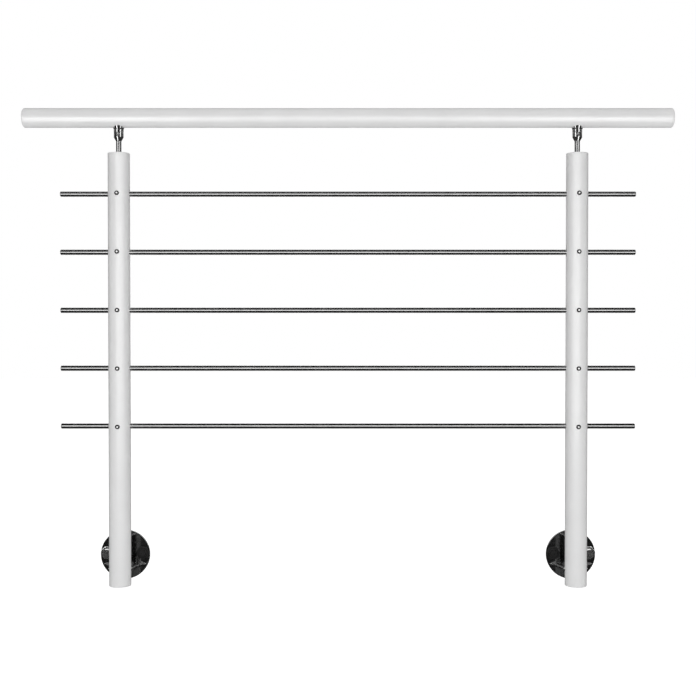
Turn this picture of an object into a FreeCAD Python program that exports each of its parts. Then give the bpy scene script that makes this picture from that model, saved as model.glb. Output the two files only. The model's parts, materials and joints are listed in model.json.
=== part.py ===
import FreeCAD, Part
import math
import os
import re
import Sketcher

# A side-mounted deck railing section: a round handrail on two round posts, five slim rods through
# the posts, a swivel bracket between each post and the handrail, and at the foot of each post a
# round wall flange with a cast side arm. Millimetres. The origin is the centre of the left flange's
# back face, +X runs along the handrail, +Y points into the wall and +Z points up.

SIZES = (
    ("post_spacing", 1050, "post axis to post axis"),
    ("post_height", 993, "post with both of its caps"),
    ("post_diameter", 50, "outside of the post tube"),
    ("post_wall", 2, "wall of the post tube"),
    ("handrail_length", 1485, "handrail with both of its caps"),
    ("handrail_diameter", 44, "outside of the handrail tube"),
    ("handrail_wall", 2, "wall of the handrail tube"),
    ("handrail_gap", 59, "post top to the underside of the handrail"),
    ("cap_thickness", 3, "disc of a post cap"),
    ("cap_chamfer", 1, "outer edge of a post cap"),
    ("end_cap_thickness", 5, "disc of a handrail cap"),
    ("end_cap_chamfer", 2, "outer edge of a handrail cap"),
    ("cap_groove", 0.5, "inner edge of a cap, beside its tube"),
    ("plug_depth", 14, "how far a cap reaches into its tube"),
    ("plug_wall", 3, "wall of a hollow plug"),
    ("plug_clearance", 0.1, "plug to tube, on the radius"),
    ("rod_count", 5, "rods"),
    ("rod_diameter", 12, "outside of a rod"),
    ("rod_length", 1318, "rod from end to end"),
    ("rod_pitch", 133, "rod to rod"),
    ("rod_drop", 93, "post top to the highest rod"),
    ("rod_chamfer", 0.8, "edge of a rod's end"),
    ("rod_clearance", 0.1, "rod to its hole, on the radius"),
    ("rod_screw_diameter", 6, "shank of a rod screw"),
    ("rod_screw_head", 11, "across the head of a rod screw"),
    ("rod_screw_rise", 3.3, "height of a rod screw's head"),
    ("rod_screw_edge", 0.8, "straight edge of a rod screw's head"),
    ("rod_screw_slope", 2, "width of the slope around a rod screw's head"),
    ("rod_screw_socket", 4, "hexagon socket of a rod screw, across its flats"),
    ("rod_screw_socket_depth", 2.2, "hexagon socket of a rod screw"),
    ("thread_clearance", 0.1, "screw to its hole, on the radius"),
    ("stem_diameter", 12, "stem of the swivel bracket"),
    ("stem_height", 27.5, "stem above the post top"),
    ("cone_height", 9, "cone between the stem and the fork"),
    ("swivel_diameter", 22, "fork and saddle body"),
    ("fork_height", 11.5, "fork above its cone"),
    ("slot_floor", 1, "floor of the fork's slot above its cone"),
    ("tongue_thickness", 8, "tongue of the saddle"),
    ("tongue_width", 17, "tongue of the saddle"),
    ("tongue_round", 5, "lower corners of the tongue"),
    ("swivel_clearance", 0.1, "tongue to fork on each side"),
    ("swivel_split", 0.5, "fork to saddle"),
    ("pivot_rise", 6, "pivot above the fork's cone"),
    ("pivot_diameter", 6, "shank of the pivot screw"),
    ("pivot_head", 9, "across the head of the pivot screw"),
    ("pivot_head_height", 3, "height of the pivot screw's head"),
    ("pivot_inset", 0.8, "pivot screw's head below the fork's surface"),
    ("pivot_socket", 4, "hexagon socket of the pivot screw, across its flats"),
    ("pivot_socket_depth", 2, "hexagon socket of the pivot screw"),
    ("flare_diameter", 24.5, "head of the saddle under the handrail"),
    ("flare_depth", 2, "straight part of the flare, measured on the handrail's underside"),
    ("flare_slope", 2.5, "sloping part of the flare"),
    ("saddle_clearance", 0.1, "saddle to handrail, and arm to post"),
    ("saddle_stud_diameter", 8, "stud that holds the handrail to the saddle"),
    ("saddle_stud_rise", 6, "stud above the inside of the handrail"),
    ("flange_diameter", 115, "wall flange"),
    ("flange_thickness", 8, "wall flange"),
    ("flange_chamfer", 1.5, "front edge of the wall flange"),
    ("flange_height", 60, "flange centre above the post's lower end"),
    ("arm_reach", 54, "front of the flange to the post axis"),
    ("arm_drop", 26, "bottom of the arm below the flange centre"),
    ("arm_inset", 1.5, "corners of the arm inside the flange's edge"),
    ("boss_spread", 5.5, "boss wider at the flange than at the post, on each side"),
    ("boss_to_washer", 2, "boss to the flange washers"),
    ("ledge_thickness", 6, "ledge at the foot of the boss"),
    ("ledge_cheek", 2.5, "tip of the ledge beside the post"),
    ("arm_fillet", 3, "foot of the boss on the ledge"),
    ("arm_chamfer", 1.2, "outer edges of the boss and the ledge"),
    ("arm_screw_low", -8, "lower arm screw above the flange centre"),
    ("arm_screw_pitch", 40, "arm screw to arm screw"),
    ("arm_screw_count", 2, "screws in one arm"),
    ("arm_screw_diameter", 8, "shank of an arm screw"),
    ("arm_screw_head", 16, "countersink of an arm screw"),
    ("arm_screw_inset", 0.2, "head of an arm screw below the back of the flange"),
    ("arm_screw_reach", 8, "arm screw past the wall of the post tube"),
    ("arm_screw_socket", 5, "hexagon socket of an arm screw, across its flats"),
    ("bolt_spacing", 84, "bolt to bolt on one flange"),
    ("bolt_rise", 4, "bolts above the flange centre"),
    ("bolt_diameter", 10, "shank of a flange bolt"),
    ("bolt_thread", 9.5, "threaded end of a flange bolt"),
    ("bolt_reach", 40, "flange bolt behind the flange"),
    ("bolt_hole_clearance", 0.5, "bolt to its hole, on the radius"),
    ("bolt_head_flats", 17, "head of a flange bolt, across its flats"),
    ("bolt_head_height", 6.4, "head of a flange bolt"),
    ("bolt_crown_inset", 0.5, "bevel of a flange bolt's head inside its flats"),
    ("bolt_crown_drop", 1.1, "bevel of a flange bolt's head at its corners"),
    ("bolt_tip", 1, "chamfered end of a flange bolt"),
    ("washer_diameter", 30, "flange washer"),
    ("washer_thickness", 2.5, "flange washer"),
    ("washer_clearance", 0.2, "washer to bolt, on the radius"),
)

SIDES = {"left": "0", "right": "post_spacing"}
POST_Y = "-(flange_thickness + arm_reach)"
POST_FOOT = "-flange_height"
POST_TOP = "(post_height - flange_height)"
HANDRAIL_X = "post_spacing / 2"
HANDRAIL_Z = "(post_height - flange_height + handrail_gap + handrail_diameter / 2)"
TOP_ROD_Z = "(post_height - flange_height - rod_drop)"
ROD_ROW = "rod_pitch * (rod_count - 1)"
FORK_TOP = "(stem_height + cone_height + fork_height)"
PIVOT_Z = "(stem_height + cone_height + pivot_rise)"
PIVOT_SEAT = "(swivel_diameter / 2 - pivot_inset - pivot_head_height)"
ARM_RADIUS = "(flange_diameter / 2 - arm_inset)"
BOSS_WIDTH = "(bolt_spacing - washer_diameter - 2 * boss_to_washer)"
BOSS_TOP = "sqrt(" + ARM_RADIUS + "^2 - " + BOSS_WIDTH + "^2 / 4)"
LEDGE_TOP = "(ledge_thickness - arm_drop)"
BOLT_FACE = "(flange_thickness + washer_thickness)"

doc = FreeCAD.newDocument("deck_railing")
dims = doc.addObject("Spreadsheet::Sheet", "Dims")
for row, (alias, size, meaning) in enumerate(SIZES, start=1):
    dims.set("A%d" % row, meaning)
    dims.set("B%d" % row, str(size))
    dims.setAlias("B%d" % row, alias)
doc.recompute()

sub_parts = []


def bound(text):
    """An expression on the sizes, as the document's objects read it."""
    return re.sub(r"\b[a-z]\w*\b(?!\()", lambda word: "Dims." + word.group(), text)


def value(text):
    """The number that an expression on the sizes gives now."""
    return float(dims.evalExpression(text))


def new_body(name, x="0", y="0", z="0", turn_axis=None, turn_angle=0):
    """One sub-part, placed in the frame of the whole section."""
    body = doc.addObject("PartDesign::Body", name)
    body.Label = name
    if turn_axis:
        body.Placement = FreeCAD.Placement(FreeCAD.Vector(), FreeCAD.Rotation(turn_axis, turn_angle))
    for axis, text in (("x", x), ("y", y), ("z", z)):
        body.setExpression("Placement.Base." + axis, bound(text))
    sub_parts.append(body)
    return body


def origin_item(body, role):
    return next(item for item in body.Origin.OriginFeatures if item.Role == role)


def sketch_on(body, name, role, up="0", out="0"):
    """A sketch on an origin plane of its body, moved up in the plane and out along its normal."""
    sketch = body.newObject("Sketcher::SketchObject", name)
    sketch.AttachmentSupport = [(origin_item(body, role), "")]
    sketch.MapMode = "FlatFace"
    sketch.setExpression("AttachmentOffset.Base.y", bound(up))
    sketch.setExpression("AttachmentOffset.Base.z", bound(out))
    return sketch


def tie(sketch, constraint, text):
    """Adds a dimension to a sketch and binds it to the sizes."""
    index = sketch.addConstraint(constraint)
    name = "size_%d" % index
    sketch.renameConstraint(index, name)
    sketch.setExpression("Constraints." + name, bound(text))


def fix_point(sketch, geometry, point, across, up):
    """Holds one point of a sketch at its distances from the sketch's origin."""
    tie(sketch, Sketcher.Constraint("DistanceX", -1, 1, geometry, point, value(across)), across)
    tie(sketch, Sketcher.Constraint("DistanceY", -1, 1, geometry, point, value(up)), up)


def circle(sketch, radius, across="0", up="0"):
    centre = FreeCAD.Vector(value(across), value(up), 0)
    round_edge = Part.Circle(centre, FreeCAD.Vector(0, 0, 1), value(radius))
    index = sketch.addGeometry(round_edge, False)
    tie(sketch, Sketcher.Constraint("Radius", index, value(radius)), radius)
    fix_point(sketch, index, 3, across, up)


def hollow_arc(start, end, radius):
    """An arc that curves in to the left of the way from start to end; it is drawn from its end."""
    way = end - start
    half = way.Length / 2
    right = FreeCAD.Vector(way.y, -way.x, 0).normalize()
    centre = (start + end) / 2 + right * math.sqrt(radius ** 2 - half ** 2)
    angles = [math.atan2(point.y - centre.y, point.x - centre.x) for point in (end, start)]
    return Part.ArcOfCircle(Part.Circle(centre, FreeCAD.Vector(0, 0, 1), radius), *angles)


def outline(sketch, corners):
    """A closed outline; each corner is a pair of expressions, across and up.

    A third expression makes the side that starts there an arc of that radius. The outline is then
    an anticlockwise one, and the arc curves into it.
    """
    points = [FreeCAD.Vector(value(corner[0]), value(corner[1]), 0) for corner in corners]
    sides = []
    for number, (across, up, *radius) in enumerate(corners):
        start, end = points[number], points[(number + 1) % len(points)]
        if radius:
            side = sketch.addGeometry(hollow_arc(start, end, value(radius[0])), False)
            tie(sketch, Sketcher.Constraint("Radius", side, value(radius[0])), radius[0])
            sides.append((side, 2, 1))
        else:
            sides.append((sketch.addGeometry(Part.LineSegment(start, end), False), 1, 2))
        fix_point(sketch, sides[-1][0], sides[-1][1], across, up)
    for number, (side, _, last) in enumerate(sides):
        following, first, _ = sides[(number + 1) % len(sides)]
        sketch.addConstraint(Sketcher.Constraint("Coincident", side, last, following, first))


def hexagon(sketch, flats):
    """A hexagon about the sketch's origin with two corners to its sides."""
    corner = flats + " / sqrt(3)"
    outline(sketch, (
        (corner, "0"),
        (corner + " / 2", flats + " / 2"),
        ("-" + corner + " / 2", flats + " / 2"),
        ("-" + corner, "0"),
        ("-" + corner + " / 2", "-" + flats + " / 2"),
        (corner + " / 2", "-" + flats + " / 2"),
    ))


def extruded(body, kind, name, sketch, length, both=False, back=False):
    """A pad or pocket of a sketch: to one side, back to the other, or half to both sides."""
    feature = body.newObject("PartDesign::" + kind, name)
    feature.Profile = sketch
    feature.setExpression("Length", bound(length))
    feature.SideType = "Symmetric" if both else "One side"
    feature.Reversed = back
    doc.recompute()
    return feature


def turned(body, kind, name, sketch, axis):
    """A revolution or groove of a sketch about one of its own axes."""
    feature = body.newObject("PartDesign::" + kind, name)
    feature.Profile = sketch
    feature.ReferenceAxis = (sketch, [axis])
    feature.Angle = 360
    doc.recompute()
    return feature


def row_of(body, name, originals, axis, length, count, back=False):
    """Repeats features in a row along an axis of the body."""
    pattern = body.newObject("PartDesign::LinearPattern", name)
    pattern.Originals = originals
    pattern.Direction = (origin_item(body, axis), [""])
    pattern.Reversed = back
    pattern.setExpression("Length", bound(length))
    pattern.setExpression("Occurrences", bound(count))
    body.Tip = pattern
    doc.recompute()
    return pattern


def dressed(body, kind, name, base, chosen, size):
    """A fillet or chamfer of the edges of the base feature that the test chooses."""
    edges = ["Edge%d" % (number + 1) for number, edge in enumerate(base.Shape.Edges) if chosen(edge)]
    feature = body.newObject("PartDesign::" + kind, name)
    feature.Base = (base, edges)
    feature.setExpression("Radius" if kind == "Fillet" else "Size", bound(size))
    body.Tip = feature
    doc.recompute()
    return feature


def at_height(edge, height):
    """Whether an edge lies level at a height."""
    box = edge.BoundBox
    return max(abs(box.ZMin - value(height)), abs(box.ZMax - value(height))) < 0.001


def tube(body, plane, diameter, wall, length, start="0", both=False):
    """A round tube along the normal of its sketch plane."""
    ring = sketch_on(body, "ring", plane, out=start)
    circle(ring, diameter + " / 2")
    circle(ring, diameter + " / 2 - " + wall)
    return extruded(body, "Pad", "tube", ring, length, both=both)


def make_post_tube(side):
    """A post: rods pass through it, rod screws enter at its front and arm screws at its back."""
    body = new_body("post_tube_" + side, SIDES[side], POST_Y, POST_FOOT)
    top_rod = "(post_height - rod_drop)"
    low_screw = "(flange_height + arm_screw_low)"
    tube(body, "XY_Plane", "post_diameter", "post_wall", "post_height - 2 * cap_thickness",
         start="cap_thickness")
    rod_hole = sketch_on(body, "rod_hole", "YZ_Plane", up=top_rod)
    circle(rod_hole, "rod_diameter / 2 + rod_clearance")
    rod_cut = extruded(body, "Pocket", "rod_cut", rod_hole, "2 * post_diameter", both=True)
    screw_hole = sketch_on(body, "screw_hole", "XZ_Plane", up=top_rod)
    circle(screw_hole, "rod_screw_diameter / 2 + thread_clearance")
    screw_cut = extruded(body, "Pocket", "screw_cut", screw_hole, "post_diameter", back=True)
    row_of(body, "rod_row", [rod_cut, screw_cut], "Z_Axis", ROD_ROW, "rod_count", back=True)
    arm_hole = sketch_on(body, "arm_hole", "XZ_Plane", up=low_screw)
    circle(arm_hole, "arm_screw_diameter / 2 + thread_clearance")
    arm_cut = extruded(body, "Pocket", "arm_cut", arm_hole, "post_diameter")
    row_of(body, "arm_row", [arm_cut], "Z_Axis", "arm_screw_pitch * (arm_screw_count - 1)",
           "arm_screw_count")


def make_handrail_tube():
    """The handrail, with a hole in its underside over each post for the saddle's stud."""
    body = new_body("handrail_tube", HANDRAIL_X, POST_Y, HANDRAIL_Z)
    tube(body, "YZ_Plane", "handrail_diameter", "handrail_wall",
         "handrail_length - 2 * end_cap_thickness", both=True)
    holes = sketch_on(body, "stud_holes", "XY_Plane")
    for across in ("-post_spacing / 2", "post_spacing / 2"):
        circle(holes, "saddle_stud_diameter / 2 + thread_clearance", across=across)
    extruded(body, "Pocket", "stud_cut", holes, "handrail_diameter")


def make_cap(name, diameter, wall, thickness, chamfer, bore=None, **placing):
    """A round cap with its outer face at height 0 and its plug below, bored or hollow."""
    body = new_body(name, **placing)
    rim = diameter + " / 2"
    plug = rim + " - " + wall + " - plug_clearance"
    under, plug_end = "-" + thickness, "-(" + thickness + " + plug_depth)"
    corners = (
        (plug, plug_end),
        (plug, under),
        (rim + " - cap_groove", under),
        (rim, "cap_groove - " + thickness),
        (rim, "-" + chamfer),
        (rim + " - " + chamfer, "0"),
    )
    if bore:
        corners += ((bore, "0"), (bore, plug_end))
    else:
        hollow = plug + " - plug_wall"
        corners += (("0", "0"), ("0", under), (hollow, under), (hollow, plug_end))
    profile = sketch_on(body, "profile", "XZ_Plane")
    outline(profile, corners)
    turned(body, "Revolution", "cap", profile, "V_Axis")


def make_caps():
    """The caps of the handrail and of both posts."""
    y_axis = FreeCAD.Vector(0, 1, 0)
    rail = ("handrail_diameter", "handrail_wall", "end_cap_thickness", "end_cap_chamfer")
    post = ("post_diameter", "post_wall", "cap_thickness", "cap_chamfer")
    for side, sign in (("left", "-"), ("right", "+")):
        make_cap("handrail_end_cap_" + side, *rail, x=HANDRAIL_X + sign + "handrail_length / 2",
                 y=POST_Y, z=HANDRAIL_Z, turn_axis=y_axis, turn_angle=-90 if side == "left" else 90)
        make_cap("post_top_cap_" + side, *post, bore="(stem_diameter / 2 + thread_clearance)",
                 x=SIDES[side], y=POST_Y, z=POST_TOP)
        make_cap("post_bottom_cap_" + side, *post, x=SIDES[side], y=POST_Y, z=POST_FOOT,
                 turn_axis=y_axis, turn_angle=180)


def make_swivel_fork(side):
    """The lower half of the swivel bracket: a turned stem, cone and slotted body."""
    body = new_body("swivel_fork_" + side, SIDES[side], POST_Y, POST_TOP)
    foot = "-(cap_thickness + plug_depth)"
    stem, barrel = "stem_diameter / 2", "swivel_diameter / 2"
    profile = sketch_on(body, "profile", "XZ_Plane")
    outline(profile, (
        ("0", foot),
        (stem, foot),
        (stem, "stem_height"),
        (barrel, "stem_height + cone_height"),
        (barrel, FORK_TOP),
        ("0", FORK_TOP),
    ))
    turned(body, "Revolution", "turned_body", profile, "V_Axis")
    slot = sketch_on(body, "slot", "YZ_Plane")
    half = "tongue_thickness / 2 + swivel_clearance"
    floor = "stem_height + cone_height + slot_floor"
    above = FORK_TOP + " + fork_height"
    outline(slot, (("-(" + half + ")", floor), (half, floor), (half, above), ("-(" + half + ")", above)))
    extruded(body, "Pocket", "slot_cut", slot, "2 * swivel_diameter", both=True)
    pivot = sketch_on(body, "pivot", "XZ_Plane", up=PIVOT_Z)
    circle(pivot, "pivot_diameter / 2 + thread_clearance")
    extruded(body, "Pocket", "pivot_cut", pivot, "2 * swivel_diameter", both=True)
    seat = sketch_on(body, "seat", "XZ_Plane", up=PIVOT_Z, out=PIVOT_SEAT)
    circle(seat, "pivot_head / 2 + thread_clearance")
    extruded(body, "Pocket", "seat_cut", seat, "swivel_diameter", back=True)


def make_handrail_saddle(side):
    """The upper half: a tongue in the fork, a flare coped to the handrail, and a stud into it."""
    body = new_body("handrail_saddle_" + side, SIDES[side], POST_Y, POST_TOP)
    split = FORK_TOP + " + swivel_split"
    flare_top = "handrail_gap + handrail_diameter / 2"
    barrel, flare = "swivel_diameter / 2", "flare_diameter / 2"
    profile = sketch_on(body, "profile", "XZ_Plane")
    outline(profile, (
        ("0", split),
        (barrel, split),
        (barrel, "handrail_gap - flare_depth - flare_slope"),
        (flare, "handrail_gap - flare_depth"),
        (flare, flare_top),
        ("0", flare_top),
    ))
    turned(body, "Revolution", "turned_body", profile, "V_Axis")
    cope = sketch_on(body, "cope", "YZ_Plane", up="handrail_gap + handrail_diameter / 2")
    circle(cope, "handrail_diameter / 2 + saddle_clearance")
    extruded(body, "Pocket", "cope_cut", cope, "2 * swivel_diameter", both=True)
    tongue = sketch_on(body, "tongue", "XZ_Plane")
    half = "tongue_width / 2"
    low = "stem_height + cone_height + slot_floor + swivel_clearance"
    high = split + " + swivel_clearance"
    outline(tongue, (("-" + half, low), (half, low), (half, high), ("-" + half, high)))
    blade = extruded(body, "Pad", "tongue_pad", tongue, "tongue_thickness", both=True)

    def is_lower_corner(edge):
        at_side = abs(abs(edge.CenterOfMass.x) - value(half)) < 0.001
        return at_side and at_height(edge, low)

    dressed(body, "Fillet", "tongue_corners", blade, is_lower_corner, "tongue_round")
    pivot = sketch_on(body, "pivot", "XZ_Plane", up=PIVOT_Z)
    circle(pivot, "pivot_diameter / 2 + thread_clearance")
    extruded(body, "Pocket", "pivot_cut", pivot, "2 * swivel_diameter", both=True)
    stud = sketch_on(body, "stud", "XY_Plane", out=split + " + swivel_clearance")
    circle(stud, "saddle_stud_diameter / 2")
    rise = "handrail_gap + handrail_wall + saddle_stud_rise - (" + split + " + swivel_clearance)"
    extruded(body, "Pad", "stud_pad", stud, rise)


def make_swivel_screw(side):
    """The screw through fork and tongue, its head sunk in the front of the fork."""
    body = new_body("swivel_screw_" + side, SIDES[side], POST_Y, POST_TOP + " + " + PIVOT_Z)
    shank, head = "pivot_diameter / 2", "pivot_head / 2"
    seat, front = "-" + PIVOT_SEAT, "-(" + PIVOT_SEAT + " + pivot_head_height)"
    tip = "swivel_diameter / 2 - pivot_inset"
    profile = sketch_on(body, "profile", "XY_Plane")
    outline(profile, (("0", tip), (shank, tip), (shank, seat), (head, seat), (head, front), ("0", front)))
    turned(body, "Revolution", "screw", profile, "V_Axis")
    socket = sketch_on(body, "socket", "XZ_Plane",
                       out=PIVOT_SEAT + " + pivot_head_height - pivot_socket_depth")
    hexagon(socket, "pivot_socket")
    extruded(body, "Pocket", "socket_cut", socket, "pivot_head_height", back=True)


def make_rod(number):
    """One rod through both posts, with chamfered ends."""
    height = TOP_ROD_Z + " - %d * rod_pitch" % (number - 1)
    body = new_body("rod_%d" % number, HANDRAIL_X, POST_Y, height)
    section = sketch_on(body, "section", "YZ_Plane")
    circle(section, "rod_diameter / 2")
    bar = extruded(body, "Pad", "bar", section, "rod_length", both=True)
    dressed(body, "Chamfer", "ends", bar, lambda edge: edge.isClosed(), "rod_chamfer")


def make_rod_screws(side):
    """The button-head screws at the front of a post, one against each rod."""
    body = new_body("rod_screws_" + side, SIDES[side], POST_Y, TOP_ROD_Z)
    shank, head = "rod_screw_diameter / 2", "rod_screw_head / 2"
    seat, top = "-post_diameter / 2", "-(post_diameter / 2 + rod_screw_rise)"
    tip = "-(rod_diameter / 2 + rod_clearance)"
    shoulder = "(rod_screw_head / 2 - rod_screw_slope)"
    profile = sketch_on(body, "profile", "XY_Plane")
    outline(profile, (
        ("0", tip),
        (shank, tip),
        (shank, seat),
        (head, seat),
        (head, seat + " - rod_screw_edge"),
        (shoulder, top),
        ("0", top),
    ))
    screw = turned(body, "Revolution", "screw", profile, "V_Axis")
    socket = sketch_on(body, "socket", "XZ_Plane",
                       out="post_diameter / 2 + rod_screw_rise - rod_screw_socket_depth")
    hexagon(socket, "rod_screw_socket")
    drive = extruded(body, "Pocket", "socket_cut", socket, "rod_screw_rise", back=True)
    row_of(body, "rod_row", [screw, drive], "Z_Axis", ROD_ROW, "rod_count", back=True)


def make_wall_flange(side):
    """The round wall flange, drilled for its bolts and countersunk at the back for the arm screws."""
    body = new_body("wall_flange_" + side, SIDES[side])
    rim = "flange_diameter / 2"
    profile = sketch_on(body, "profile", "XY_Plane")
    outline(profile, (
        ("0", "0"),
        (rim, "0"),
        (rim, "flange_chamfer - flange_thickness"),
        (rim + " - flange_chamfer", "-flange_thickness"),
        ("0", "-flange_thickness"),
    ))
    turned(body, "Revolution", "disc", profile, "V_Axis")
    holes = sketch_on(body, "bolt_holes", "XZ_Plane")
    for across in ("-bolt_spacing / 2", "bolt_spacing / 2"):
        circle(holes, "bolt_diameter / 2 + bolt_hole_clearance", across=across, up="bolt_rise")
    extruded(body, "Pocket", "bolt_cut", holes, "4 * flange_thickness", both=True)
    hole = "(arm_screw_diameter / 2 + thread_clearance)"
    sink = sketch_on(body, "countersink", "YZ_Plane", up="arm_screw_low")
    outline(sink, (
        ("0", "0"),
        ("0", "arm_screw_head / 2"),
        ("-(arm_screw_head / 2 - " + hole + ")", hole),
        ("-2 * flange_thickness", hole),
        ("-2 * flange_thickness", "0"),
    ))
    sink_cut = turned(body, "Groove", "sink_cut", sink, "H_Axis")
    row_of(body, "arm_row", [sink_cut], "Z_Axis", "arm_screw_pitch * (arm_screw_count - 1)",
           "arm_screw_count")


def sweep_radius(depth, wall_width, post_width):
    """The radius that leaves the narrow width in line with the post and ends at the wide one."""
    spread = "(%s - %s)" % (wall_width, post_width)
    return "((%s)^2 / %s + %s / 4)" % (depth, spread, spread)


def make_side_arm(side):
    """The cast arm from flange to post, in one piece.

    A boss between flange and post takes the screws. It stands on a ledge that sweeps out in a
    hollow curve, from cheeks beside the post to the flange's edge. Both are cut out for the post.
    """
    body = new_body("side_arm_" + side, SIDES[side])
    wall, front, post_back = "-flange_thickness", POST_Y, POST_Y + " + post_diameter / 2"
    ledge_wide = "2 * sqrt(" + ARM_RADIUS + "^2 - arm_drop^2)"
    ledge_narrow = "(post_diameter + 2 * ledge_cheek)"
    ledge_sweep = sweep_radius("arm_reach", ledge_wide, ledge_narrow)
    boss_narrow = "(" + BOSS_WIDTH + " - 2 * boss_spread)"
    boss_sweep = sweep_radius("arm_reach - post_diameter / 2", BOSS_WIDTH, boss_narrow)

    ledge = sketch_on(body, "ledge", "XY_Plane", out="-arm_drop")
    outline(ledge, (
        ("-" + ledge_narrow + " / 2", front),
        (ledge_narrow + " / 2", front, ledge_sweep),
        (ledge_wide + " / 2", wall),
        ("-" + ledge_wide + " / 2", wall, ledge_sweep),
    ))
    extruded(body, "Pad", "ledge_pad", ledge, "ledge_thickness")
    boss = sketch_on(body, "boss", "XY_Plane", out="-arm_drop")
    outline(boss, (
        ("-" + boss_narrow + " / 2", front),
        (boss_narrow + " / 2", front),
        (boss_narrow + " / 2", post_back, boss_sweep),
        (BOSS_WIDTH + " / 2", wall),
        ("-" + BOSS_WIDTH + " / 2", wall, boss_sweep),
        ("-" + boss_narrow + " / 2", post_back),
    ))
    boss_pad = extruded(body, "Pad", "boss_pad", boss, "arm_drop + " + BOSS_TOP)

    def is_boss_foot(edge):
        aside = abs(edge.CenterOfMass.x)
        return at_height(edge, LEDGE_TOP) and value(boss_narrow) / 4 < aside < value(BOSS_WIDTH) / 2

    dressed(body, "Fillet", "boss_foot", boss_pad, is_boss_foot, "arm_fillet")
    saddle = sketch_on(body, "saddle", "XY_Plane", up=POST_Y, out="2 * " + BOSS_TOP)
    circle(saddle, "post_diameter / 2 + saddle_clearance")
    saddle_cut = extruded(body, "Pocket", "saddle_cut", saddle, "4 * (" + BOSS_TOP + " + arm_drop)")
    rims = ((BOSS_TOP, boss_sweep), (LEDGE_TOP, ledge_sweep), ("-arm_drop", ledge_sweep))

    def is_outer_edge(edge):
        if edge.Curve.TypeId == "Part::GeomLine":
            return at_height(edge, BOSS_TOP) and edge.BoundBox.YLength > edge.BoundBox.XLength
        return any(at_height(edge, height) and abs(edge.Curve.Radius - value(sweep)) < 0.001
                   for height, sweep in rims)

    dressed(body, "Chamfer", "chamfered_edges", saddle_cut, is_outer_edge, "arm_chamfer")
    hole = sketch_on(body, "screw_hole", "XZ_Plane", up="arm_screw_low")
    circle(hole, "arm_screw_diameter / 2 + thread_clearance")
    hole_cut = extruded(body, "Pocket", "hole_cut", hole, "4 * arm_reach", both=True)
    row_of(body, "arm_row", [hole_cut], "Z_Axis", "arm_screw_pitch * (arm_screw_count - 1)",
           "arm_screw_count")


def make_arm_screws(side):
    """The countersunk screws from the back of the flange through the arm into the post."""
    body = new_body("arm_screws_" + side, SIDES[side], z="arm_screw_low")
    shank, head = "arm_screw_diameter / 2", "(arm_screw_head / 2 - arm_screw_inset - thread_clearance)"
    tip = "-(flange_thickness + arm_reach - post_diameter / 2 + post_wall + arm_screw_reach)"
    neck = "-(arm_screw_inset + " + head + " - arm_screw_diameter / 2)"
    profile = sketch_on(body, "profile", "XY_Plane")
    outline(profile, (
        ("0", "-arm_screw_inset"),
        (head, "-arm_screw_inset"),
        (shank, neck),
        (shank, tip),
        ("0", tip),
    ))
    screw = turned(body, "Revolution", "screw", profile, "V_Axis")
    socket = sketch_on(body, "socket", "XZ_Plane")
    hexagon(socket, "arm_screw_socket")
    drive = extruded(body, "Pocket", "socket_cut", socket, "arm_screw_socket / 2 + arm_screw_inset",
                     back=True)
    row_of(body, "arm_row", [screw, drive], "Z_Axis", "arm_screw_pitch * (arm_screw_count - 1)",
           "arm_screw_count")


def make_flange_fixing(side, place, sign):
    """A washer on the flange and the bolt through both, outside or inside of the post."""
    across = SIDES[side] + sign + "bolt_spacing / 2"
    washer = new_body("flange_washer_%s_%s" % (side, place), across, z="bolt_rise")
    ring = sketch_on(washer, "ring", "XZ_Plane", out="flange_thickness")
    circle(ring, "washer_diameter / 2")
    circle(ring, "bolt_diameter / 2 + washer_clearance")
    extruded(washer, "Pad", "washer", ring, "washer_thickness")

    bolt = new_body("flange_bolt_%s_%s" % (side, place), across, z="bolt_rise")
    shank, thread = "bolt_diameter / 2", "bolt_thread / 2"
    step = "(bolt_diameter - bolt_thread) / 2"
    profile = sketch_on(bolt, "profile", "XY_Plane")
    outline(profile, (
        ("0", "-" + BOLT_FACE),
        (shank, "-" + BOLT_FACE),
        (shank, "0"),
        (thread, step),
        (thread, "bolt_reach - bolt_tip"),
        (thread + " - bolt_tip", "bolt_reach"),
        ("0", "bolt_reach"),
    ))
    turned(bolt, "Revolution", "shank", profile, "V_Axis")
    head = sketch_on(bolt, "head", "XZ_Plane", out=BOLT_FACE)
    hexagon(head, "bolt_head_flats")
    extruded(bolt, "Pad", "hexagon_head", head, "bolt_head_height")
    crown = sketch_on(bolt, "crown", "XY_Plane")
    front = "-(" + BOLT_FACE + " + bolt_head_height)"
    inner, corner = "bolt_head_flats / 2 - bolt_crown_inset", "bolt_head_flats / sqrt(3)"
    outline(crown, ((inner, front), (corner, front), (corner, front + " + bolt_crown_drop")))
    turned(bolt, "Groove", "crowned_corners", crown, "V_Axis")


make_handrail_tube()
make_caps()
for end in SIDES:
    make_post_tube(end)
    make_swivel_fork(end)
    make_handrail_saddle(end)
    make_swivel_screw(end)
    make_rod_screws(end)
    make_wall_flange(end)
    make_side_arm(end)
    make_arm_screws(end)
    make_flange_fixing(end, "outer", "-" if end == "left" else "+")
    make_flange_fixing(end, "inner", "+" if end == "left" else "-")
for rod_number in range(1, int(value("rod_count")) + 1):
    make_rod(rod_number)
doc.recompute()

for item in doc.Objects:
    if "Invalid" in item.State or "Error" in item.State:
        raise RuntimeError("%s (%s) failed: %s" % (item.Name, item.Label, item.State))
for body in sub_parts:
    if body.Shape.isNull() or not body.Shape.isValid():
        raise RuntimeError("%s has no valid shape" % body.Label)

os.makedirs("parts", exist_ok=True)
for body in sub_parts:
    body.Shape.exportStep("parts/%s.step" % body.Label)
print("%d sub-parts" % len(sub_parts))
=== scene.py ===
"""Finish, light and camera for a side-mounted deck railing section."""
import json
import math
from collections import namedtuple

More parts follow.
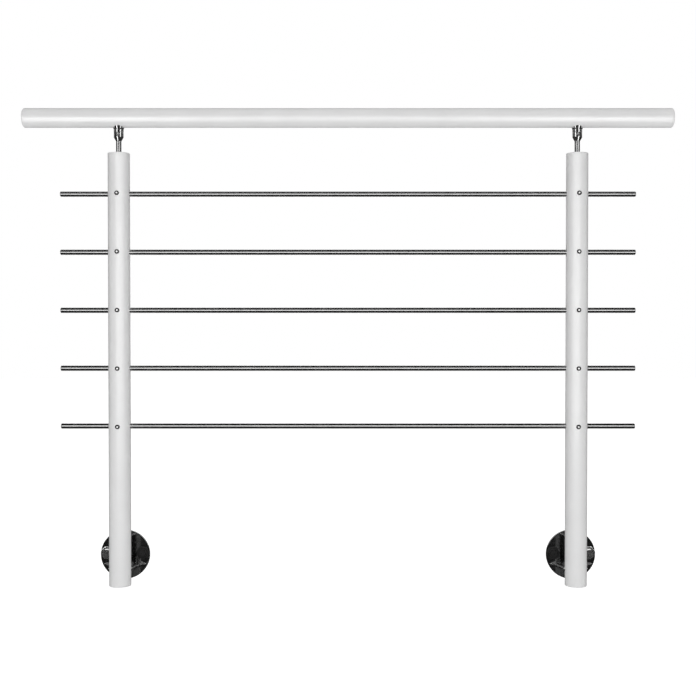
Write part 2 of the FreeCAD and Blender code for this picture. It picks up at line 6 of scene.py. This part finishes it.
import bmesh
import bpy
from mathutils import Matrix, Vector


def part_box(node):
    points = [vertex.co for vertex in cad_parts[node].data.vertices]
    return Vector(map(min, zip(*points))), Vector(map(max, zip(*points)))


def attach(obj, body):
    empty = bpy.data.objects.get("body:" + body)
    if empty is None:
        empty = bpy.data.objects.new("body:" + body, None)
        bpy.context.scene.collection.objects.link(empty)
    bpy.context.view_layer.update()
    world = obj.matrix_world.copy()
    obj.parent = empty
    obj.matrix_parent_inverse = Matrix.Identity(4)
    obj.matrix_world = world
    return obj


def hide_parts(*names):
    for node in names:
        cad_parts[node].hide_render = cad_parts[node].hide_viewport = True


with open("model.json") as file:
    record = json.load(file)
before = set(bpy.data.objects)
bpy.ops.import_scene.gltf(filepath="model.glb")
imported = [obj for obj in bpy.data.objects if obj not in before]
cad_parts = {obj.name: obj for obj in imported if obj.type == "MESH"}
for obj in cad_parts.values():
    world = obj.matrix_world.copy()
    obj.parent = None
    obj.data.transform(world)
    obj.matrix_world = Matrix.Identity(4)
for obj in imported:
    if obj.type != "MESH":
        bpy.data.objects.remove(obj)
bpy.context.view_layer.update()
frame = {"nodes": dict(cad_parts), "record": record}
scene = bpy.context.scene

SIDES = ("left", "right")


def middle_of(node):
    """The middle of a CAD node's box."""
    low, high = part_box(node)
    return (low + high) / 2


def on_both_sides(*names):
    """The names of the left and right nodes, from names with %s where the side stands."""
    return [name % side for name in names for side in SIDES]


# Lengths and places are in metres, with x along the handrail, y into the wall and z up. The middle of the
# section lies halfway between the posts, on their axes, and each post's axis is POST_OUT away from it.
POST_AXES = {side: middle_of("post_tube_" + side) for side in SIDES}
MIDDLE_HEIGHT = 0.48
MIDDLE = Vector(((POST_AXES["left"].x + POST_AXES["right"].x) / 2, POST_AXES["left"].y, MIDDLE_HEIGHT))
POST_OUT = POST_AXES["right"].x - MIDDLE.x

# The CAD nodes that get lamps or rounded edges together.
RODS = ["rod_%d" % count for count in range(1, 6)]
HANDRAIL = ["handrail_tube"] + on_both_sides("handrail_end_cap_%s")
POSTS = {side: ["post_tube_" + side, "post_top_cap_" + side, "post_bottom_cap_" + side] for side in SIDES}
BRACKETS = on_both_sides("swivel_fork_%s", "handrail_saddle_%s")
FOOT_FITTINGS = on_both_sides("side_arm_%s", "flange_washer_%s_outer", "flange_bolt_%s_outer")
SHADED_FITTINGS = on_both_sides("flange_washer_%s_inner", "flange_bolt_%s_inner")

# The domed heads of the rod screws, each with a hexagon socket and a skirt sunk into the post.
HEAD_RADIUS = 0.0055
HEAD_RISE = 0.0033
HEAD_SKIRT = 0.001
HEAD_CORNERS = 48
HEAD_RINGS = 10
SOCKET_FLATS = 0.004
SOCKET_DEPTH = 0.0022

# The rounded edges of the fittings at the wall. An edge that turns by more than EDGE_ANGLE is rounded
# there, and stays sharp on the screw heads. Mesh corners nearer than JOIN_DISTANCE are joined first.
EDGE_ROUND = 0.001
EDGE_STEPS = 3
EDGE_ANGLE = math.radians(35)
JOIN_DISTANCE = 0.00001

# Most values of a noise texture lie between these two.
NOISE_LOW = 0.3
NOISE_HIGH = 0.7

# The bolts' thread, which lies behind the front face of the flange. Blender's wave texture has its crests
# WAVE_LENGTH apart at a scale of 1.
FLANGE_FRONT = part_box("wall_flange_left")[0].y
THREAD_PITCH = 0.0015
THREAD_DEPTH = 0.0009
WAVE_LENGTH = math.pi / 10

# Painted glints: a light tone painted into the black coat along the castings' upward edges, as highlights,
# leaving out the flange. The glint grows as the surface leans away from one rounded by the edge width
# below, with a cosine from LEAN_STARTS down to LEAN_FULL, and as the rounded surface turns upward, with
# the z of its normal from UPWARD_STARTS up to UPWARD_FULL.
GLINT_EDGE_WIDTH = 0.0035
GLINT_CLEARANCE = 0.0005
LEAN_STARTS = 0.985
LEAN_FULL = 0.93
UPWARD_STARTS = 0.25
UPWARD_FULL = 0.5
COAT_TONE = 0.004
# The light tone of the painted glints, a painted highlight on the black coat.
PAINTED_GLINT_TONE = 0.95

# The world. With a brightness of 1 on all sides a white surface would show as white. Matt surfaces get a
# fill that grows to FILL_ABOVE straight up. Gloss shows a dark studio, with white only where the y of a
# reflected ray's direction is near 1, at the back.
WHITE = (1, 1, 1, 1)
FILL_ABOVE = 1.2
DARK_STUDIO = 0.01
BAND_STARTS = 0.94
BAND_FULL = 0.97

# The floor, a square well below the posts. It is nearly black in gloss and has a glow for the camera.
FLOOR_LEVEL = -0.95
FLOOR_SIZE = 60.0
FLOOR_TONE = 0.8
FLOOR_TONE_IN_GLOSS = 0.03
FLOOR_ROUGHNESS = 0.9
FLOOR_GLOW = 0.5

# The camera stands 2.4 m before the posts' axes, halfway between them, and looks down by CAMERA_DROP,
# in radians. Its lens and sensor are in millimetres.
CAMERA_PLACE = (MIDDLE.x, -2.462, 0.5246)
CAMERA_DROP = 0.0155
CAMERA_LENS = 54.04
SENSOR_WIDTH = 36.0

# The lamps. The first number of a place or an aim is counted out from the middle of the section, so that
# the left side mirrors the right, and the others are y and z. A size is a width and a height. A lamp with
# no aim looks straight along y. Lamps that cover each other, as seen from a piece, stand in different
# planes, because in one plane only one of them would show in its gloss.
Lamp = namedtuple("Lamp", "place size radiance aim", defaults=(None,))
BOX_RADIANCE = 2.2
FILL_RADIANCE = 2.1
STRIP_RADIANCE = 3.0
AT_MIDDLE = (0, MIDDLE.y, MIDDLE.z)
FRONT_BOX = Lamp(place=(0, -2.6, 0.625), size=(3.2, 1.25), radiance=BOX_RADIANCE)
FRONT_FILL = Lamp(place=(0, -2.7, 0.6), size=(3.2, 1.1), radiance=FILL_RADIANCE, aim=AT_MIDDLE)
RAIL_BOX = Lamp(place=(0, -1.0, 0.37), size=(2.6, 1.0), radiance=1.5)
BACK_BOX = Lamp(place=(0, 2.6, 0.625), size=(8.0, 1.25), radiance=BOX_RADIANCE)
BACK_FILL = Lamp(place=(0, 2.7, 0.6), size=(1.6, 1.1), radiance=FILL_RADIANCE, aim=AT_MIDDLE)
POST_TOP_BOX = Lamp(place=(0, -2.5, 1.5), size=(3.2, 0.5), radiance=BOX_RADIANCE)
POST_BOX = Lamp(place=(-2.5, -2.5, 0.85), size=(1.9, 1.8), radiance=2.0)
END_FILL = Lamp(place=(1.1, -1.5, 0.5), size=(0.6, 0.8), radiance=1.3, aim=(0.55, 0, 0.8))
STRIP = Lamp(place=(1.415, -1.63, 1.45), size=(0.5, 0.9), radiance=STRIP_RADIANCE,
             aim=(0, MIDDLE.y, 1.45))
LOW_STRIP = Lamp(place=(0.675, -0.33, 0.6), size=(0.12, 0.24), radiance=STRIP_RADIANCE,
                 aim=(POST_OUT, MIDDLE.y, 1.0))
RAIL_END = Lamp(place=(0.9, -0.95, 0.37), size=(0.75, 1.0), radiance=2.3)
SPARK = Lamp(place=(1.285, 0.13, 0.69), size=(0.25, 1.9), radiance=12.0, aim=(POST_OUT, -0.01, 0))


def add_node(owner, kind, **settings):
    """Adds a shader node to a material or to the world."""
    node = owner.node_tree.nodes.new(kind)
    for name, setting in settings.items():
        setattr(node, name, setting)
    return node


def connect(owner, source, target):
    owner.node_tree.links.new(source, target)


def feed(owner, term, target):
    """Sets an input to a number, or connects an output to it."""
    if isinstance(term, float):
        target.default_value = term
    else:
        connect(owner, term, target)


def choose(owner, factor, without, chosen):
    """Goes from one term to the other as a factor goes from 0 to 1; each term is a number or an output."""
    mix = add_node(owner, "ShaderNodeMix", data_type="FLOAT")
    connect(owner, factor, mix.inputs["Factor"])
    feed(owner, without, mix.inputs["A"])
    feed(owner, chosen, mix.inputs["B"])
    return mix.outputs["Result"]


def combine(owner, operation, first, second):
    """Works out one operation on two terms, each a number or an output."""
    maths = add_node(owner, "ShaderNodeMath", operation=operation)
    feed(owner, first, maths.inputs[0])
    feed(owner, second, maths.inputs[1])
    return maths.outputs["Value"]


def ramp(owner, source, start, end, low=0.0, high=1.0):
    """Goes from low, where the source is at its start, to high, where it is at its end."""
    scale = add_node(owner, "ShaderNodeMapRange")
    scale.inputs["From Min"].default_value = start
    scale.inputs["From Max"].default_value = end
    scale.inputs["To Min"].default_value = low
    scale.inputs["To Max"].default_value = high
    connect(owner, source, scale.inputs["Value"])
    return scale.outputs["Result"]


def part_of(owner, vector, axis):
    """The X, Y or Z of a vector."""
    split = add_node(owner, "ShaderNodeSeparateXYZ")
    connect(owner, vector, split.inputs["Vector"])
    return split.outputs[axis]


def place_on(owner, kind="Object"):
    """The place on a piece or, for the world, the direction, which Blender calls Generated."""
    return add_node(owner, "ShaderNodeTexCoord").outputs[kind]


def shader_inputs(material):
    return material.node_tree.nodes["Principled BSDF"].inputs


def new_material(name, base, metallic=0.0, roughness=0.5, coat=0.0, coat_roughness=0.05):
    """A principled material; the numbers that are the same all over it are set on its sockets."""
    material = bpy.data.materials.new(name)
    material.use_nodes = True
    inputs = shader_inputs(material)
    inputs["Base Color"].default_value = (base, base, base, 1)
    inputs["Metallic"].default_value = metallic
    inputs["Roughness"].default_value = roughness
    inputs["Coat Weight"].default_value = coat
    inputs["Coat Roughness"].default_value = coat_roughness
    return material


def noise(material, cells, detail=3.0, stretch=(1, 1, 1)):
    """Noise with so many cells to the metre, drawn out along an axis where its stretch is small."""
    mapping = add_node(material, "ShaderNodeMapping")
    mapping.inputs["Scale"].default_value = [cells * share for share in stretch]
    texture = add_node(material, "ShaderNodeTexNoise")
    texture.inputs["Scale"].default_value = 1.0
    texture.inputs["Detail"].default_value = detail
    connect(material, place_on(material), mapping.inputs["Vector"])
    connect(material, mapping.outputs["Vector"], texture.inputs["Vector"])
    return texture.outputs["Fac"]


def vary_roughness(material, source, low, high):
    """Lets the roughness vary between two values with a noise."""
    roughness = ramp(material, source, NOISE_LOW, NOISE_HIGH, low, high)
    connect(material, roughness, shader_inputs(material)["Roughness"])


def vary_tone(material, source, low, high):
    """Lets the grey of the base colour vary between two tones with a noise."""
    tone = ramp(material, source, NOISE_LOW, NOISE_HIGH, low, high)
    colour = add_node(material, "ShaderNodeCombineColor")
    for channel in ("Red", "Green", "Blue"):
        connect(material, tone, colour.inputs[channel])
    connect(material, colour.outputs["Color"], shader_inputs(material)["Base Color"])


def raise_bumps(material, source, height, strength=1.0):
    """Bumps of a height in metres; a second call adds its bumps to the first ones."""
    normal = shader_inputs(material)["Normal"]
    bump = add_node(material, "ShaderNodeBump")
    bump.inputs["Distance"].default_value = height
    bump.inputs["Strength"].default_value = strength
    connect(material, source, bump.inputs["Height"])
    for link in list(normal.links):
        connect(material, link.from_socket, bump.inputs["Normal"])
    connect(material, bump.outputs["Normal"], normal)


def make_white_coat():
    """Satin powder coat: slow changes of tone and the fine ripple of a baked coat."""
    material = new_material("white_coat", base=0.8, roughness=0.38, coat=0.6, coat_roughness=0.22)
    vary_tone(material, noise(material, cells=14), low=0.79, high=0.82)
    vary_roughness(material, noise(material, cells=60), low=0.34, high=0.42)
    raise_bumps(material, noise(material, cells=900, detail=1.0), height=0.00002, strength=0.6)
    return material


def make_ground_rod():
    """Stainless rod, ground round its axis, so that highlights are drawn out along it."""
    material = new_material("polished_rod", base=0.5, metallic=1.0, roughness=0.16)
    vary_tone(material, noise(material, cells=40, stretch=(1, 0.2, 0.2)), low=0.46, high=0.54)
    lines = noise(material, cells=2500, stretch=(1, 0.02, 0.02))
    raise_bumps(material, lines, height=0.000004, strength=0.5)
    return material


def make_turned_bracket():
    """Polished turned steel with the last fine lines of the turning tool."""
    material = new_material("polished_bracket", base=0.6, metallic=1.0, roughness=0.12)
    vary_roughness(material, noise(material, cells=300), low=0.09, high=0.15)
    lines = noise(material, cells=3000, stretch=(0.02, 0.02, 1))
    raise_bumps(material, lines, height=0.000003, strength=0.5)
    return material


def make_screw_steel():
    """Bright screw steel with small handling marks."""
    material = new_material("screw_steel", base=0.5, metallic=1.0, roughness=0.16)
    vary_roughness(material, noise(material, cells=500), low=0.12, high=0.24)
    return material


def painted_glint_edges(material):
    """A mask of the castings' upward edges in front of the flanges, where a painted glint lightens the
    coat.
    """
    rounded = add_node(material, "ShaderNodeBevel", samples=8)
    rounded.inputs["Radius"].default_value = GLINT_EDGE_WIDTH
    surface = add_node(material, "ShaderNodeNewGeometry")
    lean = add_node(material, "ShaderNodeVectorMath", operation="DOT_PRODUCT")
    connect(material, rounded.outputs["Normal"], lean.inputs[0])
    connect(material, surface.outputs["Normal"], lean.inputs[1])
    edge = ramp(material, lean.outputs["Value"], LEAN_STARTS, LEAN_FULL)
    upward = ramp(material, part_of(material, rounded.outputs["Normal"], "Z"), UPWARD_STARTS, UPWARD_FULL)
    depth = part_of(material, place_on(material), "Y")
    in_front = combine(material, "LESS_THAN", depth, FLANGE_FRONT - GLINT_CLEARANCE)
    return combine(material, "MULTIPLY", combine(material, "MULTIPLY", edge, upward), in_front)


def make_black_gloss():
    """Gloss black powder coat over a casting, with painted glints along its upward edges."""
    material = new_material("black_gloss", base=COAT_TONE, roughness=0.24, coat=1.0, coat_roughness=0.06)
    inputs = shader_inputs(material)
    inputs["Coat IOR"].default_value = 1.7
    # Painted highlight: the base colour turns to the light glint tone along the upward edges.
    tone = choose(material, painted_glint_edges(material), COAT_TONE, PAINTED_GLINT_TONE)
    connect(material, tone, inputs["Base Color"])
    vary_roughness(material, noise(material, cells=120), low=0.2, high=0.3)
    raise_bumps(material, noise(material, cells=500, detail=2.0), height=0.00001, strength=0.5)
    return material


def cut_thread(material):
    """Rings at the thread's pitch on the bolts' shanks, behind the washers."""
    wave = add_node(material, "ShaderNodeTexWave", wave_type="BANDS", bands_direction="Y")
    wave.inputs["Scale"].default_value = WAVE_LENGTH / THREAD_PITCH
    connect(material, place_on(material), wave.inputs["Vector"])
    depth = part_of(material, place_on(material), "Y")
    shank = combine(material, "GREATER_THAN", depth, FLANGE_FRONT)
    raise_bumps(material, combine(material, "MULTIPLY", wave.outputs["Fac"], shank), height=THREAD_DEPTH)


def make_bolt_steel():
    """Bright plated steel of the outer bolts and washers."""
    material = new_material("bolt_steel", base=0.6, metallic=1.0, roughness=0.2)
    vary_roughness(material, noise(material, cells=1500), low=0.17, high=0.25)
    cut_thread(material)
    return material


def make_painted_shade_bolt():
    """Near-black copy of the bolt steel, painted shade for the bolts in the shade of the posts."""
    material = new_material("dark_bolt", base=0.008, roughness=0.3)
    vary_roughness(material, noise(material, cells=400), low=0.26, high=0.38)
    cut_thread(material)
    return material


def make_floor_paint():
    """Matt and pale, with a glow that only the camera sees; in gloss it is dark, as the studio is."""
    material = new_material("floor_paint", base=FLOOR_TONE, roughness=FLOOR_ROUGHNESS)
    inputs = shader_inputs(material)
    path = add_node(material, "ShaderNodeLightPath")
    tone = choose(material, path.outputs["Is Glossy Ray"], FLOOR_TONE, FLOOR_TONE_IN_GLOSS)
    connect(material, tone, inputs["Base Color"])
    inputs["Emission Color"].default_value = WHITE
    glow = combine(material, "MULTIPLY", path.outputs["Is Camera Ray"], FLOOR_GLOW)
    connect(material, glow, inputs["Emission Strength"])
    return material


def finish_nodes():
    """Gives each CAD node the material of its slot."""
    materials = {
        "white_coat": make_white_coat(),
        "polished_rod": make_ground_rod(),
        "polished_bracket": make_turned_bracket(),
        "screw_steel": make_screw_steel(),
        "black_gloss": make_black_gloss(),
        "bolt_steel": make_bolt_steel(),
        # The inner bolts' near-black copy of the bolt steel is painted shade.
        "dark_bolt": make_painted_shade_bolt(),
    }
    for part in frame["record"]["subparts"]:
        node = frame["nodes"][part["node"]]
        for slot in node.material_slots:
            slot.material = materials[part["material_slot"]]


def domed_head(form, place):
    """Adds a button head with a hexagon socket to a mesh; it stands on place and faces -Y."""
    ball = (HEAD_RADIUS ** 2 + HEAD_RISE ** 2) / (2 * HEAD_RISE)

    def dome(radius):
        return math.sqrt(ball ** 2 - radius ** 2) - (ball - HEAD_RISE)

    def socket(angle):
        return SOCKET_FLATS / 2 / math.cos(angle % (math.pi / 3) - math.pi / 6)

    def ring(share, level=None):
        """Corners at a share of the way from the socket to the rim, on the dome or at a level."""
        corners = []
        for step in range(HEAD_CORNERS):
            angle = 2 * math.pi * step / HEAD_CORNERS
            radius = socket(angle) + (HEAD_RADIUS - socket(angle)) * share
            height = dome(radius) if level is None else level
            corner = Vector((radius * math.cos(angle), -height, radius * math.sin(angle)))
            corners.append(form.verts.new(place + corner))
        return corners

    rings = [ring(0, level=HEAD_RISE - SOCKET_DEPTH)]
    rings += [ring(step / HEAD_RINGS) for step in range(HEAD_RINGS + 1)]
    rings.append(ring(1, level=-HEAD_SKIRT))
    form.faces.new(rings[0])
    form.faces.new(rings[-1][::-1])
    for inner, outer in zip(rings, rings[1:]):
        for step in range(HEAD_CORNERS):
            after = (step + 1) % HEAD_CORNERS
            form.faces.new((inner[step], outer[step], outer[after], inner[after]))


def add_screw_heads():
    """Domed heads on the front of each post, one for each rod, in place of the plainer CAD ones."""
    for side in SIDES:
        post_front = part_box("post_tube_" + side)[0].y
        form = bmesh.new()
        for rod in RODS:
            domed_head(form, Vector((POST_AXES[side].x, post_front, middle_of(rod).z)))
        bmesh.ops.recalc_face_normals(form, faces=form.faces)
        mesh = bpy.data.meshes.new("rod_screw_heads_" + side)
        form.to_mesh(mesh)
        form.free()
        mesh.shade_smooth()
        mesh.set_sharp_from_angle(angle=EDGE_ANGLE)
        heads = bpy.data.objects.new("rod_screw_heads_" + side, mesh)
        scene.collection.objects.link(heads)
        mesh.materials.append(frame["nodes"]["rod_screws_" + side].material_slots[0].material)
        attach(heads, "root")
        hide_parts("rod_screws_" + side)


def round_edges():
    """Takes the sharpness off the edges of the bolts, washers and castings at the wall."""
    for name in FOOT_FITTINGS + SHADED_FITTINGS:
        node = frame["nodes"][name]
        node.modifiers.new("joined faces", "WELD").merge_threshold = JOIN_DISTANCE
        bevel = node.modifiers.new("rounded edges", "BEVEL")
        bevel.harden_normals = True
        bevel.width = EDGE_ROUND
        bevel.segments = EDGE_STEPS
        bevel.limit_method = "ANGLE"
        bevel.angle_limit = EDGE_ANGLE


def out_from_middle(sign, place):
    """A place that is counted out from the middle, to the left with a sign of -1."""
    out, y, z = place
    return Vector((MIDDLE.x + sign * out, y, z))


def add_lamp(name, lamp, sign=1, shines=True, mirrors=True, pieces=()):
    """Adds a lamp, out of the camera's sight; it shines on matt surfaces, shows in gloss, or both.

    With pieces it lights those CAD nodes only, as a small reflector held close to them does.
    """
    place = out_from_middle(sign, lamp.place)
    aim = out_from_middle(sign, lamp.aim) if lamp.aim else Vector((place.x, 0, place.z))
    light = bpy.data.lights.new(name, "AREA")
    light.shape = "RECTANGLE"
    light.size, light.size_y = lamp.size
    light.energy = lamp.radiance * math.pi * lamp.size[0] * lamp.size[1]
    holder = bpy.data.objects.new(name, light)
    scene.collection.objects.link(holder)
    holder.location = place
    holder.rotation_euler = (aim - place).to_track_quat("-Z", "Y").to_euler()
    holder.visible_camera = False
    holder.visible_diffuse = shines
    holder.visible_glossy = mirrors
    if pieces:
        lit = bpy.data.collections.new(name + "_lit")
        for piece in pieces:
            lit.objects.link(frame["nodes"][piece])
        holder.light_linking.receiver_collection = lit


def add_lamps():
    """Fills for the matt coat, and the lamps that polished surfaces show as stripes and spots."""
    add_lamp("front_box", FRONT_BOX, shines=False)
    add_lamp("front_fill", FRONT_FILL, mirrors=False)
    add_lamp("rail_box", RAIL_BOX, shines=False, pieces=HANDRAIL)
    add_lamp("back_box", BACK_BOX, shines=False, pieces=RODS)
    add_lamp("back_fill", BACK_FILL, mirrors=False)
    add_lamp("post_top_box", POST_TOP_BOX, shines=False, pieces=POSTS["left"] + POSTS["right"])
    for side, sign in (("left", -1), ("right", 1)):
        add_lamp(side + "_post_box", POST_BOX, sign, shines=False, pieces=POSTS[side])
        add_lamp(side + "_end_fill", END_FILL, sign, mirrors=False)
        add_lamp(side + "_strip", STRIP, sign, shines=False, pieces=BRACKETS)
        add_lamp(side + "_low_strip", LOW_STRIP, sign, shines=False, pieces=BRACKETS)
        add_lamp(side + "_rail_end", RAIL_END, sign, shines=False, pieces=HANDRAIL)
        add_lamp(side + "_spark", SPARK, sign, shines=False, pieces=FOOT_FITTINGS)


def add_world():
    """White where the camera looks, a soft fill for matt surfaces, a dark studio in reflections."""
    world = bpy.data.worlds.new("studio")
    scene.world = world
    world.use_nodes = True
    background = world.node_tree.nodes["Background"]
    path = add_node(world, "ShaderNodeLightPath")
    direction = place_on(world, "Generated")
    fill = ramp(world, part_of(world, direction, "Z"), 0.0, 1.0, high=FILL_ABOVE)
    gloss = ramp(world, part_of(world, direction, "Y"), BAND_STARTS, BAND_FULL, low=DARK_STUDIO)
    level = choose(world, path.outputs["Is Glossy Ray"], fill, gloss)
    level = choose(world, path.outputs["Is Transmission Ray"], level, 1.0)
    level = choose(world, path.outputs["Is Camera Ray"], level, 1.0)
    background.inputs["Color"].default_value = WHITE
    connect(world, level, background.inputs["Strength"])


def add_floor():
    """A pale floor well below the posts, which hang from the edge of a deck."""
    form = bmesh.new()
    bmesh.ops.create_grid(form, x_segments=1, y_segments=1, size=FLOOR_SIZE / 2)
    mesh = bpy.data.meshes.new("floor")
    form.to_mesh(mesh)
    form.free()
    floor = bpy.data.objects.new("floor", mesh)
    floor.location = (MIDDLE.x, MIDDLE.y, FLOOR_LEVEL)
    scene.collection.objects.link(floor)
    mesh.materials.append(make_floor_paint())


def add_camera():
    """The camera of the photograph's view."""
    lens = bpy.data.cameras.new("camera")
    lens.lens = CAMERA_LENS
    lens.sensor_width = SENSOR_WIDTH
    camera = bpy.data.objects.new("camera", lens)
    camera.location = CAMERA_PLACE
    camera.rotation_euler = (math.pi / 2 - CAMERA_DROP, 0, 0)
    scene.collection.objects.link(camera)
    scene.camera = camera


scene.view_settings.view_transform = "Standard"
finish_nodes()
add_screw_heads()
round_edges()
add_world()
add_lamps()
add_floor()
add_camera()
